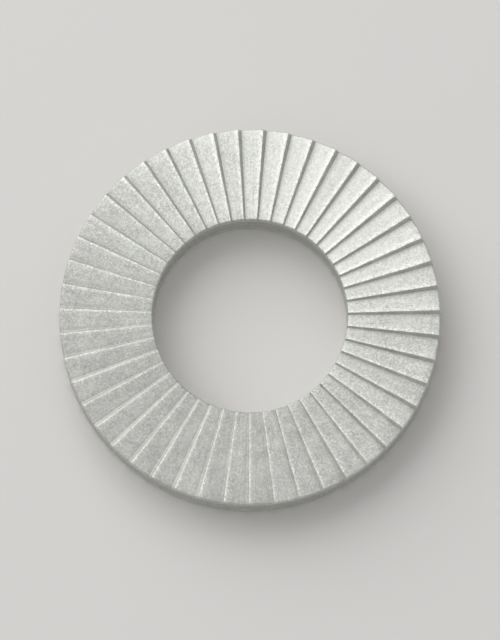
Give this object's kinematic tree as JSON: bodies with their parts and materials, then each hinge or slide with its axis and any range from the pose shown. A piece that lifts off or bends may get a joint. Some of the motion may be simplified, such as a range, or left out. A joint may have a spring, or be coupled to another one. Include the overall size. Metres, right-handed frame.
{
  "type": "wedge lock washer pair",
  "caption": "Pair of round steel lock washers with radial saw teeth on the outer faces and sloped wedge cams between them, clamped under a bolt head or nut so that it can't turn loose.",
  "frame": {"origin": "on the bolt axis, in the plane that the lower washer's tooth crests stand on", "axes": "+Z along the bolt axis, up through the pair; X and Y lie in the bearing plane"},
  "size_m": [0.0254, 0.0254, 0.0034],
  "materials": {
    "zinc_flake_coating": "matte silver-grey zinc flake coating on hardened steel, with a fine grain"
  },
  "bodies": {
    "root": {"lower_washer": "zinc_flake_coating", "upper_washer": "zinc_flake_coating"}
  },
  "joints": []
}
